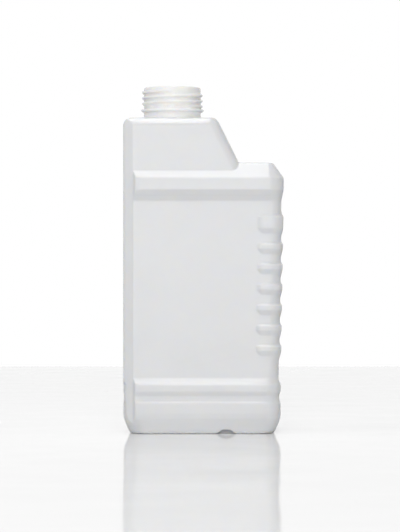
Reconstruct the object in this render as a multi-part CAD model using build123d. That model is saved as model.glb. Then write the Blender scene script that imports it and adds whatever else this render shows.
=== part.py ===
from build123d import *
import math
import os

# One litre jerrycan, blow moulded in one piece of polyethylene. All sizes in millimetres.
# X runs from the flush side to the grip side, -Y is the front, Z is up from the table.

# Plan of the lower body, measured at the band under the shoulder
body_width = 98.2
body_depth = 62.0
corner_radius = 9.5
flush_corner_radius = 11.0
least_radius = 1.6
wall = 1.2

# Plain corner strips of the flush side: a turned facet, where the front and back relief ends
strip_width = 6.0
strip_turn = 22.0
strip_radius = 2.2
strip_slant = 0.6
strip_tilt = 10.0

# Foot: the block below the groove, with a slanted lower edge
foot_height = 18.9
foot_slant_height = 9.5
foot_slant_width = 4.0
foot_land = 3.0
foot_round = 3.0

# Groove between the foot and the belt, shallower on the flush side
groove_width = 6.4
groove_depth = 1.0
groove_depth_flush = 0.4
groove_lower_flank = 1.8
groove_upper_flank = 1.3

# Belt, label panel and band, stacked on the groove
belt_height = 5.1
belt_flank = 2.5
panel_height = 111.0
panel_recess = 1.4
panel_front_recess = 2.9
band_flank = 3.4
band_height = 8.9
crisp_edge = 0.5
soft_edge = 1.3
band_round = 1.8
round_step = 1.2
longest_arm = 0.45

# The grip side leans in from the band down to the belt
grip_lean = 1.9

# Shoulder: slanted edge round the top of the lower body
shoulder_height = 9.3
shoulder_width = 6.7
shoulder_land = 4.0
shoulder_round = 1.8

# Upper block that carries the neck, set in at the front and the back
block_height = 37.0
block_inset = 3.1
block_top_reach = 56.9
block_slope = 0.5
block_edge_radius = 5.2
block_corner_radius = 6.5
block_sink = 12.0

# Grip pads on the panel's free side, lower where they wrap round to the front and back
pad_height = 1.45
pad_front_height = 1.1
pad_pitch = 12.45
pad_length = 10.85
top_pad_length = 15.3
top_pad_gap = 8.4
pad_upper_flank = 2.9
pad_lower_flank = 5.2
pad_rim = 1.2
pad_rim_share = 0.6
pad_valley_height = 0.3
pad_wrap = 19.3
pad_radius = 7.3
pad_foot_gap = 11.0
pad_bury = 0.3

# Neck: bore, bead ring and one screw thread
neck_x = -19.3
neck_height = 19.5
neck_radius = 17.6
bore_radius = 15.2
bore_flare = 2.0
neck_foot_radius = 1.6
neck_foot_ease = 0.3
lip_chamfer = 0.5
bead_height = 5.3
bead_radius = 19.4
bead_thickness = 2.6
bead_shoulder_share = 0.75
bead_shoulder_level = 0.6
bead_flat_level = 0.2
thread_pitch = 3.41
thread_radius = 18.75
thread_root_width = 2.5
thread_crest_width = 0.9
thread_turns = 2.95
thread_start_height = 7.2
thread_start_angle = 289.0

# Underside: raised middle, pinch line and the locating notch in the front edge
push_up_height = 2.0
push_up_margin = 10.0
push_up_slope = 3.0
push_up_radius = 7.0
pinch_length = 56.0
pinch_width = 1.2
pinch_height = 0.7
notch_x = 13.7
notch_height = 2.7
notch_top_width = 4.6
notch_foot_width = 12.0
notch_reach = 9.0
notch_round = 1.2

# Levels that follow from the heights above
groove_top = foot_height + groove_width
belt_top = groove_top + belt_height
panel_bottom = belt_top + belt_flank
panel_top = panel_bottom + panel_height
band_bottom = panel_top + band_flank
band_top = band_bottom + band_height
shoulder_top = band_top + shoulder_height
ledge_level = band_top + shoulder_height * block_inset / shoulder_width
block_top = band_top + block_height
neck_top = block_top + neck_height

# How far a tool reaches past the surface that it cuts, and how far an added piece is let in
clear = 1.0
sunk = 0.1


def lean(z):
    """How far the grip side has leaned in at height z."""
    share = (band_bottom - z) / (band_bottom - belt_top)
    return grip_lean * min(max(share, 0.0), 1.0)


def plan(left, side, front, z, left_radius, right_radius):
    """Rounded rectangle at height z, with its grip side and its long sides moved in."""
    right = body_width / 2 - lean(z) - side
    outline = Rectangle(right - left, body_depth - 2 * front)
    outline = fillet(outline.vertices().group_by(Axis.X)[0], left_radius)
    outline = fillet(outline.vertices().group_by(Axis.X)[-1], right_radius)
    return Pos((left + right) / 2, 0, z) * outline.face()


def soften(points, reaches):
    """Round the corners of a run of points, each by its own reach, in steps along the round."""
    softened = [points[0]]
    for before, corner, after, reach in zip(points, points[1:], points[2:], reaches):
        shorter = min((before - corner).length, (after - corner).length)
        arm = min(reach, longest_arm * shorter)
        start = corner + (before - corner).normalized() * arm
        end = corner + (after - corner).normalized() * arm
        steps = max(1, round(arm / round_step))
        for share in [step / steps for step in range(steps + 1)]:
            held = start * (1 - share) ** 2 + end * share**2
            softened.append(held + corner * (2 * share * (1 - share)))
    return softened + [points[-1]]


def lower_body(inset):
    """Foot, groove, belt, panel, band and shoulder, as one stack of rounded plans.

    Each point is (how far the front, right and back move in, how far the left moves in, height).
    """
    foot_in = foot_slant_width
    ledge_in = block_inset
    top_in = shoulder_width
    land_in = shoulder_width + shoulder_land
    points = [
        Vector(foot_in + foot_land, foot_in + foot_land, 0),
        Vector(foot_in, foot_in, 0),
        Vector(0, 0, foot_slant_height),
        Vector(0, 0, foot_height),
        Vector(groove_depth, groove_depth_flush, foot_height + groove_lower_flank),
        Vector(groove_depth, groove_depth_flush, groove_top - groove_upper_flank),
        Vector(0, 0, groove_top),
        Vector(0, 0, belt_top),
        Vector(panel_recess, 0, panel_bottom),
        Vector(panel_recess, 0, panel_top),
        Vector(0, 0, band_bottom),
        Vector(0, 0, band_top),
        Vector(ledge_in, 0, ledge_level),
        Vector(top_in, top_in - ledge_in, shoulder_top),
        Vector(land_in, land_in - ledge_in, shoulder_top),
    ]
    reaches = [foot_round, foot_round, crisp_edge, soft_edge, soft_edge, soft_edge, crisp_edge]
    reaches += [soft_edge, band_round, band_round, crisp_edge, crisp_edge, shoulder_round]
    if inset == 0:
        points = soften(points, reaches)
    stack = [level_plan(point, inset) for point in points]
    return loft(stack, ruled=True) & level_slab(inset, shoulder_top - inset)


def level_plan(point, inset):
    """Plan of the lower body at one point of its stack, with corners that tighten as it moves in."""
    left = point.Y - body_width / 2 + inset
    front = point.X
    if groove_top + belt_height / 2 < point.Z < band_top - band_height / 2:
        front *= panel_front_recess / panel_recess
    tighter = 0 if point.Z < foot_height else front
    least = least_radius + wall
    left_radius = max(flush_corner_radius - tighter * flush_corner_radius / block_inset, least)
    right_radius = max(corner_radius - tighter, least)
    return plan(left, point.X + inset, front + inset, point.Z, left_radius - inset, right_radius - inset)


def strip_cutter(inset):
    """What is taken off the front left corner to leave the plain strip, a facet turned to the side.

    The facet starts at the foot of the relief's slanted end and runs into the side on a round.
    """
    left = -body_width / 2
    foot = left + strip_width
    deep = block_inset - body_depth / 2
    turn = math.radians(strip_turn)
    fall = math.tan(turn)
    tilt = math.radians(strip_tilt)
    half_way = (tilt + math.pi / 2 - turn) / 2
    radius = strip_radius - inset
    centre_x = left + strip_radius
    centre_y = deep + strip_radius * math.cos(turn) + (foot + strip_radius * math.sin(turn) - centre_x) * fall

    def on_round(angle):
        return (centre_x - radius * math.cos(angle), centre_y - radius * math.sin(angle))

    start = on_round(tilt)
    end = on_round(math.pi / 2 - turn)
    slant = (1 + strip_slant**2) ** 0.5
    end_x = foot + inset / slant
    end_y = deep + inset * strip_slant / slant
    meet_x = (end_x + strip_slant * (end_y - end[1] - end[0] * fall)) / (1 - strip_slant * fall)
    meet_y = end[1] + (end[0] - meet_x) * fall
    spread = meet_y + body_depth / 2 + clear
    away = start[0] - left + clear
    outline = Polyline(
        end,
        (meet_x, meet_y),
        (meet_x + strip_slant * spread, meet_y - spread),
        (left - clear, meet_y - spread),
        (left - clear, start[1] + away / math.tan(tilt)),
        start,
    )
    outline += ThreePointArc(start, on_round(half_way), end)
    return Pos(0, 0, -clear) * extrude(make_face(outline), amount=block_top + 2 * clear)


def level_slab(bottom, top):
    """Everything between two heights, wide enough for the whole body."""
    return Pos(0, 0, (bottom + top) / 2) * Box(2 * body_width, 2 * body_depth, top - bottom)


def pad_levels():
    """Bottom and top of each pad: the long top one, and as many short ones as the panel has room for."""
    top = panel_top - top_pad_gap
    levels = [(top - top_pad_length, top)]
    while levels[-1][0] - pad_pitch > panel_bottom + pad_foot_gap:
        bottom = levels[-1][0] - pad_pitch
        levels.append((bottom, bottom + pad_length))
    return levels


def grip_pads(inset):
    """Raised pads that wrap round the grip side, as one stack of plans with shallow valleys.

    Each point is (how far the grip side moves in, how far the front and back move in, height).
    The stack starts and ends buried in the panel, and so does each valley at the front and back.
    """
    crest = panel_recess - pad_height
    rim = crest + pad_rim_share * pad_height
    valley = panel_recess - pad_valley_height
    front = panel_front_recess - pad_front_height
    buried = panel_front_recess + pad_bury
    points = []
    for bottom, top in pad_levels():
        points += [
            Vector(valley, buried, top),
            Vector(rim, buried, top - pad_upper_flank + pad_rim),
            Vector(crest, front, top - pad_upper_flank),
            Vector(crest, front, bottom + pad_lower_flank),
            Vector(rim, buried, bottom + pad_rim),
            Vector(valley, buried, bottom),
        ]
    sunk_side = panel_recess + pad_bury
    points = [Vector(sunk_side, buried, points[0].Z + pad_rim)] + points
    points += [Vector(sunk_side, buried, points[-1].Z - pad_rim)]
    left = body_width / 2 - pad_wrap + inset
    radius = pad_radius - inset
    stack = [plan(left - lean(p.Z), p.X + inset, p.Y + inset, p.Z, radius, radius) for p in points]
    return loft(stack, ruled=True)


def upper_block(inset):
    """Block over the flush side, sloped towards the shoulder, with rounded upper edges."""
    left = -body_width / 2 + inset
    top = block_top - inset
    bottom = band_top - block_sink
    lean_in = inset * (1 + block_slope**2) ** 0.5
    top_right = -body_width / 2 + block_top_reach + block_slope * inset - lean_in
    bottom_right = top_right + block_slope * (top - bottom)
    outline = Polyline(
        (left, bottom), (bottom_right, bottom), (top_right, top), (left, top), close=True
    )
    profile = Plane.XZ * make_face(outline)
    half_depth = body_depth / 2 - block_inset - inset
    block = extrude(profile, amount=half_depth, both=True)
    sloped = block.edges().filter_by(lambda edge: edge.length > block_height and edge.center().X > top_right)
    block = fillet(sloped, block_corner_radius - inset)
    rim = block.faces().sort_by(Axis.Z)[-1].edges()
    return fillet(rim, block_edge_radius - inset)


def turned(*points):
    """Solid turned about the neck's axis from an outline of (radius, height) points."""
    outline = Plane.XZ * make_face(Polyline(*points, close=True))
    return Pos(neck_x, 0, 0) * revolve(outline, Axis.Z)


def neck_body():
    """Wall of the neck with its eased foot and lip, and the bead ring under the thread."""
    foot = block_top - wall / 2
    eased = neck_foot_ease * neck_foot_radius
    bead = block_top + bead_height
    half = bead_thickness / 2
    shoulder = neck_radius + bead_shoulder_share * (bead_radius - neck_radius)
    return turned(
        (0, foot),
        (neck_radius + neck_foot_radius, foot),
        (neck_radius + neck_foot_radius, block_top),
        (neck_radius + eased, block_top + eased),
        (neck_radius, block_top + neck_foot_radius),
        (neck_radius, bead - half),
        (shoulder, bead - bead_shoulder_level * half),
        (bead_radius, bead - bead_flat_level * half),
        (bead_radius, bead + bead_flat_level * half),
        (shoulder, bead + bead_shoulder_level * half),
        (neck_radius, bead + half),
        (neck_radius, neck_top - lip_chamfer),
        (neck_radius - lip_chamfer, neck_top),
        (0, neck_top),
    )


def neck_bore():
    """Straight bore that opens out into the body."""
    ceiling = block_top - wall
    return turned(
        (0, ceiling - bore_flare),
        (bore_radius + bore_flare, ceiling - bore_flare),
        (bore_radius + bore_flare, ceiling),
        (bore_radius, ceiling + bore_flare),
        (bore_radius, neck_top + clear),
        (0, neck_top + clear),
    )


def neck_thread():
    """Right-hand thread with one start, shaved flat at both ends where it runs out into the wall."""
    root = neck_radius - clear / 2
    rise = thread_turns * thread_pitch
    path = Helix(thread_pitch, rise, root)
    crest = thread_radius - root
    half_root = thread_root_width / 2
    half_crest = thread_crest_width / 2
    section = Polyline(
        (0, -half_root), (crest, -half_crest), (crest, half_crest), (0, half_root), close=True
    )
    start = Plane(origin=path @ 0, x_dir=(1, 0, 0), z_dir=path % 0)
    ridge = sweep(start * make_face(section), path, is_frenet=True)
    ridge -= run_out(0, -thread_pitch, thread_pitch / 2)
    ridge -= run_out(360 * thread_turns, rise - thread_pitch / 2, rise + thread_pitch)
    start_height = block_top + thread_start_height
    return Pos(neck_x, 0, start_height) * Rot(0, 0, thread_start_angle) * ridge


def run_out(angle, low, high):
    """Block that shaves the thread down to the neck's wall between two heights, at an angle."""
    reach = 2 * (thread_radius - neck_radius)
    width = 2 * neck_radius
    tool = Pos(neck_radius - sunk + reach / 2, 0, (low + high) / 2) * Box(reach, width, high - low)
    return Rot(0, 0, angle) * tool


def push_up(inset):
    """Shallow hollow under the base, inside the resting ring."""
    left = -body_width / 2 + push_up_margin - inset
    narrow = push_up_slope
    spread = push_up_slope / push_up_height * clear
    side = push_up_margin - inset
    radius = push_up_radius + inset
    low = plan(left - spread, side - spread, side - spread, -clear, radius, radius)
    high = plan(left + narrow, side + narrow, side + narrow, push_up_height + inset, radius, radius)
    return loft([low, high], ruled=True)


def notch(inset):
    """Tapered locating notch in the front lower edge."""
    top = notch_height + inset
    half_top = notch_top_width / 2 + inset
    half_foot = notch_foot_width / 2 + inset
    spread = (half_foot - half_top) / notch_height * clear
    line = FilletPolyline(
        (-half_foot - spread, -clear),
        (-half_top, top),
        (half_top, top),
        (half_foot + spread, -clear),
        radius=notch_round,
        close=False,
    )
    line += Line((half_foot + spread, -clear), (-half_foot - spread, -clear))
    face = Plane.XZ * make_face(line)
    length = notch_reach + clear + inset
    front = -body_depth / 2 - clear
    return Pos(notch_x, front + length, 0) * extrude(face, amount=length)


def body_form(inset):
    """Outer skin of the moulding at inset 0, or the cavity inside it at the wall's thickness."""
    form = lower_body(inset) + grip_pads(inset) + upper_block(inset)
    strip = strip_cutter(inset)
    return form - strip - mirror(strip, about=Plane.XZ) - push_up(inset) - notch(inset)


def pinch_line():
    """Low seam across the raised middle of the base, where the mould pinches the tube shut."""
    level = push_up_height - pinch_height / 2 + wall / 4
    return Pos(0, 0, level) * Box(pinch_length, pinch_width, pinch_height + wall / 2)


def bottle():
    """The whole moulding: skin, neck, thread and seam, less the cavity and the bore."""
    outside = body_form(0) + neck_body() + neck_thread()
    return outside - body_form(wall) - neck_bore() + pinch_line()


os.makedirs("parts", exist_ok=True)
body = bottle()
export_step(body, "parts/bottle.step")
size = body.bounding_box().size
print("bottle", len(body.solids()), "solid", round(body.volume), "mm3", size)
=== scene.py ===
# %% [markdown]
# # A one litre jerrycan in milky plastic
# This lesson dresses a CAD model of a small plastic jerrycan. The CAD model fixes every size.
# Blender adds what CAD leaves out: the soft edges of a blow moulding, the waxy half-clear
# plastic, the glossy table and the light of a product photograph. We start by loading the CAD
# model and noting its box, because the finished bottle has to stay in it.

# %% Load the CAD model
import math
import bpy
import numpy as np
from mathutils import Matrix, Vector


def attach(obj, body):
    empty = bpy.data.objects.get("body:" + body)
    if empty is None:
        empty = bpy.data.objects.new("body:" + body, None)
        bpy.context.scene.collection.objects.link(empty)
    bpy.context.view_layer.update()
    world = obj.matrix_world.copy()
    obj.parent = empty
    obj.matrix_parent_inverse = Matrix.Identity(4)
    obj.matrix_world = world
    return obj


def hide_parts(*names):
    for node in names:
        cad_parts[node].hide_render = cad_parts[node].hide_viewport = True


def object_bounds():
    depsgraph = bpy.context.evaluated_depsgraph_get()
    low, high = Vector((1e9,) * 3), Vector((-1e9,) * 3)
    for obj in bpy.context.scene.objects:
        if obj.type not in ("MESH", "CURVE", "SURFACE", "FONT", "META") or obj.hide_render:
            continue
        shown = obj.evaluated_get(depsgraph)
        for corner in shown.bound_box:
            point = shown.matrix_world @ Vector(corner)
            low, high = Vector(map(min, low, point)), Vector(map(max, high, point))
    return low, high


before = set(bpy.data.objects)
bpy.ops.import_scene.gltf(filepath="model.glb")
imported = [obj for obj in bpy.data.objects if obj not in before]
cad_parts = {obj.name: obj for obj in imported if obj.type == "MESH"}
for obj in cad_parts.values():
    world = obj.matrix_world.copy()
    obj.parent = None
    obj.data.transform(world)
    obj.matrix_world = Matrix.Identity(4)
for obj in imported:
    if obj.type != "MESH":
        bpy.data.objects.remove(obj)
cad_low, cad_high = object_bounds()
cad_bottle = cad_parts["bottle"]
mm = 0.001
print("CAD box in mm:", [round(v / mm, 1) for v in (*cad_low, *cad_high)])

# %% [markdown]
# # Camera
# The photograph looks at the bottle from far away, level with its middle, so upright edges stay
# parallel. A long lens from 1.6 m does that. It could be an orthographic camera, but then the
# table's far edge would sit at the wrong height, so we keep the perspective.

# %% Place the camera
camera_data = bpy.data.cameras.new("photo_camera")
camera_data.sensor_width = 36
camera_data.lens = 176
camera = bpy.data.objects.new("photo_camera", camera_data)
camera.location = (-2.2 * mm, -1612 * mm, 102.4 * mm)
camera.rotation_euler = (math.radians(90), 0, 0)
bpy.context.scene.collection.objects.link(camera)
bpy.context.scene.camera = camera
print("camera at", [round(v, 3) for v in camera.location], "m, lens", camera_data.lens, "mm")

# %% [markdown]
# # The moulded skin
# A blow moulding has no sharp edge anywhere: the hot tube of plastic is pressed against the mould
# by air and rounds every corner a little. CAD edges are sharper than that. We could bevel each
# edge, but the pads and the thread meet the body in many small faces where a bevel tears.
# A voxel remesh rebuilds the whole skin, inside and out, as small even squares instead.

# %% Remesh a copy of the CAD shape
voxel = 0.4 * mm


def applied(piece):
    """The piece's mesh with its modifiers applied, given back to the piece."""
    graph = bpy.context.evaluated_depsgraph_get()
    mesh = bpy.data.meshes.new_from_object(piece.evaluated_get(graph))
    piece.modifiers.clear()
    piece.data = mesh
    return mesh


skin = bpy.data.objects.new("bottle_skin", cad_bottle.data.copy())
bpy.context.scene.collection.objects.link(skin)
remesh = skin.modifiers.new("even squares", "REMESH")
remesh.mode = "VOXEL"
remesh.voxel_size = voxel
applied(skin)
print("skin has", len(skin.data.polygons), "small squares")

# %% [markdown]
# The squares still follow the CAD edges closely. A Smooth modifier moves each point halfway to its
# neighbours' middle, which melts every edge by about one square. More rounds would look waxier but
# would also wash out the narrow ledges, and those catch the light in the photograph.

# %% Melt the edges
melt_rounds = 1
melt = skin.modifiers.new("soft edges", "SMOOTH")
melt.factor = 0.5
melt.iterations = melt_rounds
applied(skin)
print("melted", len(skin.data.vertices), "points in", melt_rounds, "round")

# %% [markdown]
# # The screw thread
# The thread is formed in the mould with the rest of the neck, so it is a smooth swelling and not a
# cut. The remesh leaves it a little lumpy, because its crest is only two voxels wide. We know its
# exact course, though: a ridge that climbs one pitch each turn. So we note the neck's sizes here
# and then work out the radius that it should have at each angle and height.

# %% Note the neck's sizes
neck_x = -19.3 * mm
neck_radius = 17.6 * mm
block_top = 193.2 * mm
neck_top = cad_high[2]
bead_level = block_top + 5.3 * mm
bead_radius = 19.4 * mm
bead_half = 1.3 * mm
bead_fullness = 0.8
thread_pitch = 3.41 * mm
thread_radius = 18.75 * mm
thread_half_root = 1.25 * mm
thread_half_crest = 0.45 * mm
thread_turns = 2.95
thread_start_level = block_top + 7.2 * mm
thread_start_angle = math.radians(289)
thread_fade_angle = math.radians(26)
print("thread climbs", round(thread_turns * thread_pitch / mm, 1), "mm in", thread_turns, "turns")

# %% [markdown]
# The neck's surface is a sum: the plain wall, a rounded ring called the bead, and the ridge of the
# thread. The ridge is highest along its centre line and falls off above and below it. At its two
# ends it fades into the wall, as a moulded thread does.

# %% Work out the neck's radius at any angle and height


def smooth_step(share):
    """0 to 1 with no kink at either end."""
    share = np.clip(share, 0, 1)
    return share * share * (3 - 2 * share)


def bead_rise(level):
    """How far the bead ring stands out at a height."""
    off = np.abs(level - bead_level) / bead_half
    return (bead_radius - neck_radius) * np.clip(1 - off**2, 0, 1) ** bead_fullness


def thread_rise(angle, level):
    """How far the thread stands out at an angle and a height."""
    full_turn = 2 * math.pi
    turned = (angle - thread_start_angle) % full_turn
    ridge = np.zeros_like(level)
    for lap in range(math.ceil(thread_turns)):
        along = turned + lap * full_turn
        off = np.abs(level - thread_start_level - thread_pitch * along / full_turn)
        slope = (thread_half_root - off) / (thread_half_root - thread_half_crest)
        to_end = np.minimum(along, thread_turns * full_turn - along)
        rise = smooth_step(slope) * smooth_step(to_end / thread_fade_angle)
        ridge = np.maximum(ridge, (thread_radius - neck_radius) * rise)
    return ridge


half_turn_on = np.array([thread_start_angle + math.pi])
crest = thread_rise(half_turn_on, thread_start_level + thread_pitch / 2)
print("thread stands out", round(float(crest[0]) / mm, 2), "mm at its crest")

# %% [markdown]
# Now each outer point of the neck slides straight out or in until it is at that radius. Its height
# and its angle stay, so no face folds over. The bore's points are nearer the axis and stay put, and
# so do those of the eased foot and lip, which the remesh already shapes well.

# %% Slide the neck's points onto the thread
least_outer_radius = 16.4 * mm
foot_kept = 2 * mm
lip_kept = 0.8 * mm


def points_of(piece):
    """The piece's points as rows of x, y and z."""
    rows = np.empty(len(piece.data.vertices) * 3)
    piece.data.vertices.foreach_get("co", rows)
    return rows.reshape(-1, 3)


def move_points(piece, rows):
    """Puts the piece's points where the rows say."""
    piece.data.vertices.foreach_set("co", rows.reshape(-1))
    piece.data.update()


points = points_of(skin)
across = points[:, 0] - neck_x
out = np.hypot(across, points[:, 1])
angle = np.arctan2(points[:, 1], across)
level = points[:, 2]
on_neck = (level > block_top + foot_kept) & (level < neck_top - lip_kept)
on_neck &= out > least_outer_radius
target = neck_radius + bead_rise(level) + thread_rise(angle, level)
scale = np.where(on_neck, target / np.maximum(out, 1e-6), 1)
points[:, 0] = neck_x + across * scale
points[:, 1] *= scale
move_points(skin, points)
print("slid", int(on_neck.sum()), "points onto the thread")

# %% [markdown]
# # Fewer faces
# Nearly a million squares are more than a shared model should carry, and most lie on flat panels
# that need hardly any. Decimate merges them where the shape is flat and keeps the small ones on
# edges and on the thread.

# %% Thin the mesh out
most_triangles = 190000
thin = skin.modifiers.new("fewer faces", "DECIMATE")
thin.ratio = most_triangles / (2 * len(skin.data.polygons))
applied(skin)
skin.data.shade_smooth()
print("skin kept", len(skin.data.polygons), "faces")

# %% [markdown]
# Both the remesh and the merging can push a point out by a hair. The bottle has to stay in the CAD
# model's box, so any point past one of its sides goes back to that side.

# %% Keep the skin in the CAD box
points = points_of(skin)
kept_in = np.clip(points, cad_low, cad_high)
move_points(skin, kept_in)
print("moved", int((kept_in != points).any(axis=1).sum()), "points back into the box")

# %% [markdown]
# # Uneven surfaces
# No real surface is quite even. The plastic is thicker here and thinner there, and even a polished
# table has patches that are a little duller. Both come from the same soft noise, so we build it
# once as a node group. Its size is given in metres, which is easier to judge than a noise scale.

# %% Build the unevenness group


def new_group(name, inputs, outputs):
    """An empty shader group with number sockets, and its input and output nodes."""
    group = bpy.data.node_groups.new(name, "ShaderNodeTree")
    for label, kind in inputs:
        group.interface.new_socket(label, in_out="INPUT", socket_type=kind)
    for label, kind in outputs:
        group.interface.new_socket(label, in_out="OUTPUT", socket_type=kind)
    return group, group.nodes.new("NodeGroupInput"), group.nodes.new("NodeGroupOutput")


patches, given, result = new_group(
    "soft patches",
    [("Place", "NodeSocketVector"), ("Size", "NodeSocketFloat"), ("Low", "NodeSocketFloat"),
     ("High", "NodeSocketFloat")],
    [("Value", "NodeSocketFloat")],
)
per_metre = patches.nodes.new("ShaderNodeMath")
per_metre.operation = "DIVIDE"
per_metre.inputs[0].default_value = 1
patches.links.new(given.outputs["Size"], per_metre.inputs[1])
cloud = patches.nodes.new("ShaderNodeTexNoise")
cloud.inputs["Detail"].default_value = 2
patches.links.new(given.outputs["Place"], cloud.inputs["Vector"])
patches.links.new(per_metre.outputs["Value"], cloud.inputs["Scale"])
spread = patches.nodes.new("ShaderNodeMapRange")
spread.inputs["From Min"].default_value = 0.3
spread.inputs["From Max"].default_value = 0.7
patches.links.new(cloud.outputs["Fac"], spread.inputs["Value"])
patches.links.new(given.outputs["Low"], spread.inputs["To Min"])
patches.links.new(given.outputs["High"], spread.inputs["To Max"])
patches.links.new(spread.outputs["Result"], result.inputs["Value"])
print("group", patches.name, "has", len(patches.nodes), "nodes")

# %% [markdown]
# # Milky polyethylene
# The plastic is white with nothing added but the wax-like haze of polyethylene itself. Light goes
# a millimetre or so into it and comes out softened. A plain white paint would look chalky, and
# glass would look clear, so we use subsurface scattering with a smooth, shiny skin over it.

# %% Start the plastic
plastic = bpy.data.materials.new("milky_polyethylene")
plastic.use_nodes = True
nodes = plastic.node_tree.nodes
links = plastic.node_tree.links
shader = nodes["Principled BSDF"]
shader.inputs["IOR"].default_value = 1.5
shader.inputs["Subsurface Weight"].default_value = 1.0
shader.inputs["Subsurface Radius"].default_value = (1.0, 0.88, 0.7)
body_haze = 0.9 * mm
neck_haze = 1.6 * mm
place = nodes.new("ShaderNodeTexCoord")
xyz = nodes.new("ShaderNodeSeparateXYZ")
links.new(place.outputs["Object"], xyz.inputs["Vector"])
print("light goes", round(body_haze / mm, 1), "mm into the body and", round(neck_haze / mm, 1),
      "mm into the neck")

# %% [markdown]
# Two small helpers keep the next cells short. One places the patches group with its own size and
# range. The other turns a height or a width into a soft mask from 0 to 1.

# %% Write helpers for patches and masks


def patch(size, low, high):
    """Soft patches between two values over the plastic."""
    node = nodes.new("ShaderNodeGroup")
    node.node_tree = patches
    node.inputs["Size"].default_value = size
    node.inputs["Low"].default_value = low
    node.inputs["High"].default_value = high
    links.new(place.outputs["Object"], node.inputs["Place"])
    return node.outputs["Value"]


def fade(value, start, end):
    """A mask that is 0 at one value and 1 at another, with a soft run between them."""
    node = nodes.new("ShaderNodeMapRange")
    node.interpolation_type = "SMOOTHSTEP"
    node.inputs["From Min"].default_value = start
    node.inputs["From Max"].default_value = end
    links.new(value, node.inputs["Value"])
    return node.outputs["Result"]


def worked(operation, first, second):
    """The result of one sum on a node's output and a number or another output."""
    node = nodes.new("ShaderNodeMath")
    node.operation = operation
    links.new(first, node.inputs[0])
    if isinstance(second, (int, float)):
        node.inputs[1].default_value = second
    else:
        links.new(second, node.inputs[1])
    return node.outputs["Value"]


print("helpers ready: patch, fade and worked")

# %% [markdown]
# # Colour
# The wall of the body looks cool and a little grey. The neck is moulded thicker, so it is
# whiter and warmer. Its colour is also painted brighter still: painted light that stands in for
# the light shining through its half-clear wall and open mouth. We fade from one colour to the other
# at the neck's foot, and let faint cloudy patches run through both where the wall varies.

# %% Mix the colour
body_colour = (0.797, 0.803, 0.815, 1)
thin_colour = (0.784, 0.79, 0.8, 1)
# painted light: the neck's near-white is partly its thicker wall and partly painted brightness for
# light shining through it
neck_white_and_painted_light = (0.985, 0.98, 0.968, 1)
fade_low, fade_high = block_top - 1 * mm, block_top + 2 * mm


def mixed(mask, first, second):
    """Two colours mixed by a mask, each a fixed colour or another node's output."""
    node = nodes.new("ShaderNodeMix")
    node.data_type = "RGBA"
    links.new(mask, node.inputs["Factor"])
    for socket, colour in (("A", first), ("B", second)):
        if isinstance(colour, tuple):
            node.inputs[socket].default_value = colour
        else:
            links.new(colour, node.inputs[socket])
    return node.outputs["Result"]


wall_colour = mixed(patch(24 * mm, 0, 1), body_colour, thin_colour)
on_the_neck = fade(xyz.outputs["Z"], fade_low, fade_high)
# the neck colour carries painted light as well as the thicker wall's whiter tone
links.new(mixed(on_the_neck, wall_colour, neck_white_and_painted_light), shader.inputs["Base Color"])
haze = worked("ADD", worked("MULTIPLY", on_the_neck, neck_haze - body_haze), body_haze)
links.new(haze, shader.inputs["Subsurface Scale"])
print("wall", body_colour[:3], "neck", neck_white_and_painted_light[:3])

# %% [markdown]
# # Shine
# The mould is polished, so the skin mirrors the lamps with only a slight blur. The blur changes a
# little from place to place. The foot rubs on shelves and tables, so its lowest millimetres are
# scuffed and duller.

# %% Set the roughness
least_blur, most_blur = 0.05, 0.1
least_scuff, most_scuff = 0.1, 0.35
scuff_top, scuff_full = 2.5 * mm, 0.2 * mm
skin_blur = patch(9 * mm, least_blur, most_blur)
scuffed = fade(xyz.outputs["Z"], scuff_top, scuff_full)
scuff_blur = worked("MULTIPLY", scuffed, patch(1.5 * mm, least_scuff, most_scuff))
links.new(worked("ADD", skin_blur, scuff_blur), shader.inputs["Roughness"])
foot_blur = most_blur + most_scuff
print("roughness from", least_blur, "on the panels to", round(foot_blur, 2), "at the foot")

# %% [markdown]
# # Ripples and the mould's joint
# Close up, three things show in the skin: slow ripples where the wall cooled unevenly, a very fine
# grain, and a hair-thin raised line where the two mould halves met. That line runs up both narrow
# sides and over the shoulders, in the plane of the bottle's middle. As geometry it would need far
# more faces, so all three are heights in millimetres that a Bump node turns into slopes.

# %% Raise the ripples and the joint line
ripple_height = 0.06
grain_height = 0.0015
line_height = 0.06
line_edge, line_crest = 0.22 * mm, 0.04 * mm
ripples = patch(22 * mm, 0, ripple_height)
grain = patch(1.1 * mm, 0, grain_height)
from_middle = worked("ABSOLUTE", xyz.outputs["Y"], 0)
joint_line = worked("MULTIPLY", fade(from_middle, line_edge, line_crest), line_height)
heights = worked("ADD", worked("ADD", ripples, grain), joint_line)
bump = nodes.new("ShaderNodeBump")
bump.inputs["Strength"].default_value = 1
bump.inputs["Distance"].default_value = 1 * mm
links.new(heights, bump.inputs["Height"])
links.new(bump.outputs["Normal"], shader.inputs["Normal"])
print("plastic has", len(nodes), "nodes")

# %% [markdown]
# # Hand the skin over
# The skin now takes the CAD bottle's place in the picture and moves with its body. The CAD bottle
# stays for the physics.

# %% Dress the skin
skin.data.materials.clear()
skin.data.materials.append(plastic)
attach(skin, "root")
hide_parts("bottle")
print("skin replaces", cad_bottle.name)

# %% [markdown]
# # Table
# A glossy white table mirrors the bottle faintly and ends some way behind it, which draws the pale
# horizon of the photograph. It is a sheet of one face, long enough that its other edges are never
# seen.

# %% Lay the table
table_far = 1037 * mm
table_near = -4
table_half = 3
corners = [(-table_half, table_near, 0), (table_half, table_near, 0), (table_half, table_far, 0),
           (-table_half, table_far, 0)]
table_mesh = bpy.data.meshes.new("table")
table_mesh.from_pydata(corners, [], [(0, 1, 2, 3)])
table = bpy.data.objects.new("table", table_mesh)
bpy.context.scene.collection.objects.link(table)
print("table ends", table_far, "m behind the bottle's middle")
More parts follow.
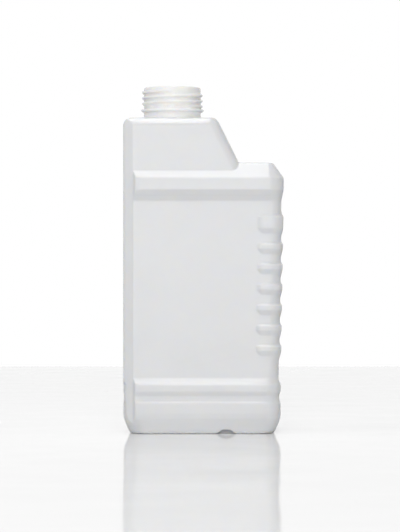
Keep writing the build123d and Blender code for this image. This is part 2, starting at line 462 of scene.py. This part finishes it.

# %% [markdown]
# The table is a sheet of glossy white acrylic. Its mirror is weak straight down and strong at a low
# angle, as the photograph shows, so a low index of refraction is enough. The white under the gloss
# is painted darker under and behind the bottle and paler towards the front. That is painted shade:
# it stands in for the bottle's shadow near its foot, and it evens out the mirror, which adds less
# of the white backdrop at the front.
# To the camera alone it also glows a little, as a sheet lit from below would, which takes it nearer
# to the backdrop's white without adding any light to the bottle.

# %% Finish the table
least_smear, most_smear = 0.06, 0.1
# painted shade: the table's white is darker under and behind the bottle than in front
shaded_white_behind, white_before = 0.9, 0.97
shade_ramp_from, shade_ramp_to = -100 * mm, -900 * mm
camera_glow = 0.09
gloss = bpy.data.materials.new("white_gloss_table")
gloss.use_nodes = True
gloss_nodes = gloss.node_tree.nodes
gloss_links = gloss.node_tree.links
gloss_shader = gloss_nodes["Principled BSDF"]
gloss_shader.inputs["IOR"].default_value = 1.25
gloss_place = gloss_nodes.new("ShaderNodeTexCoord")
smears = gloss_nodes.new("ShaderNodeGroup")
smears.node_tree = patches
smears.inputs["Size"].default_value = 60 * mm
smears.inputs["Low"].default_value = least_smear
smears.inputs["High"].default_value = most_smear
gloss_links.new(gloss_place.outputs["Object"], smears.inputs["Place"])
gloss_links.new(smears.outputs["Value"], gloss_shader.inputs["Roughness"])
# painted shade ramp: a darker white under and behind the bottle, a paler white in front
painted_shade_ramp = gloss_nodes.new("ShaderNodeMapRange")
painted_shade_ramp.inputs["From Min"].default_value = shade_ramp_from
painted_shade_ramp.inputs["From Max"].default_value = shade_ramp_to
painted_shade_ramp.inputs["To Min"].default_value = shaded_white_behind
painted_shade_ramp.inputs["To Max"].default_value = white_before
gloss_xyz = gloss_nodes.new("ShaderNodeSeparateXYZ")
gloss_links.new(gloss_place.outputs["Object"], gloss_xyz.inputs["Vector"])
gloss_links.new(gloss_xyz.outputs["Y"], painted_shade_ramp.inputs["Value"])
gloss_links.new(painted_shade_ramp.outputs["Result"], gloss_shader.inputs["Base Color"])
gloss_ray = gloss_nodes.new("ShaderNodeLightPath")
lift = gloss_nodes.new("ShaderNodeMath")
lift.operation = "MULTIPLY"
lift.inputs[1].default_value = camera_glow
gloss_links.new(gloss_ray.outputs["Is Camera Ray"], lift.inputs[0])
gloss_shader.inputs["Emission Color"].default_value = (1, 1, 1, 1)
gloss_links.new(lift.outputs["Value"], gloss_shader.inputs["Emission Strength"])
table_mesh.materials.append(gloss)
print("table white from", shaded_white_behind, "under the bottle to", white_before, "in front")

# %% [markdown]
# # Studio light
# A soft box overhead whitens every face that looks up, and its mirror image draws the bright lines
# along the ledges. Two more behind the camera fill the front. A tall narrow one to the left draws
# the upright line on the neck, and two soft ones lift the sides. A low one lights the back, which
# the photograph doesn't show, and is so low that it hardly touches the table. The wide lamps that
# only fill in are kept out of mirror images, so that no second outline shows in the shiny skin.

# %% Hang the lamps


def soft_box(name, at, aim, size, watts):
    """A rectangular lamp at one point that faces another."""
    data = bpy.data.lights.new(name, "AREA")
    data.shape = "RECTANGLE"
    data.size, data.size_y = size
    data.energy = watts
    lamp = bpy.data.objects.new(name, data)
    lamp.location = at
    lamp.rotation_euler = (Vector(aim) - Vector(at)).to_track_quat("-Z", "Y").to_euler()
    lamp.visible_camera = False
    bpy.context.scene.collection.objects.link(lamp)
    return lamp


middle = (0, 0, 0.1)
overhead = soft_box("overhead", (0, -0.6, 1.2), (0, -0.6, 0), (0.3, 2.0), 7.7)
panel = soft_box("front_panel", (-0.05, -2.3, 0.2), middle, (1.1, 0.9), 4.8)
fill = soft_box("front_fill", (-0.1, -2.3, 0.8), middle, (0.7, 0.7), 14.3)
window = soft_box("tall_window", (-0.9, -1.75, 0.4), (0, 0, 0.2), (0.16, 1.1), 2.9)
left_top = soft_box("left_top", (-0.9, -0.4, 1.0), (0, 0, 0.18), (0.6, 0.6), 2.8)
right = soft_box("right", (1.5, -0.9, 0.4), middle, (0.6, 1.0), 4.2)
back = soft_box("back", (0, 2.6, 0.15), middle, (1.4, 0.3), 45)
lamps = (overhead, panel, fill, window, left_top, right, back)
for lamp in (fill, left_top, right, back):
    lamp.visible_glossy = False
print(len(lamps), "lamps with", round(sum(lamp.data.energy for lamp in lamps), 1), "W in all")

# %% [markdown]
# # White backdrop
# The world is plain white to the camera and in every mirror image, so the backdrop is white
# without lighting the bottle. As a light it is nearly off. A Light Path node tells the two uses
# apart.

# %% Whiten the world
faint_light = 0.02
world = bpy.data.worlds.new("white_studio")
bpy.context.scene.world = world
world.use_nodes = True
tree = world.node_tree
tree.nodes.clear()
ray = tree.nodes.new("ShaderNodeLightPath")
seen = tree.nodes.new("ShaderNodeMath")
seen.operation = "MAXIMUM"
seen_all = tree.nodes.new("ShaderNodeMath")
seen_all.operation = "MAXIMUM"
tree.links.new(ray.outputs["Is Camera Ray"], seen.inputs[0])
tree.links.new(ray.outputs["Is Glossy Ray"], seen.inputs[1])
tree.links.new(seen.outputs["Value"], seen_all.inputs[0])
tree.links.new(ray.outputs["Is Transmission Ray"], seen_all.inputs[1])
white = tree.nodes.new("ShaderNodeBackground")
white.inputs["Color"].default_value = (1, 1, 1, 1)
light = tree.nodes.new("ShaderNodeBackground")
light.inputs["Color"].default_value = (0.97, 0.985, 1, 1)
light.inputs["Strength"].default_value = faint_light
pick = tree.nodes.new("ShaderNodeMixShader")
world_out = tree.nodes.new("ShaderNodeOutputWorld")
tree.links.new(seen_all.outputs["Value"], pick.inputs["Fac"])
tree.links.new(light.outputs["Background"], pick.inputs[1])
tree.links.new(white.outputs["Background"], pick.inputs[2])
tree.links.new(pick.outputs["Shader"], world_out.inputs["Surface"])
bpy.context.scene.view_settings.view_transform = "Standard"
print("backdrop white, world light", faint_light)
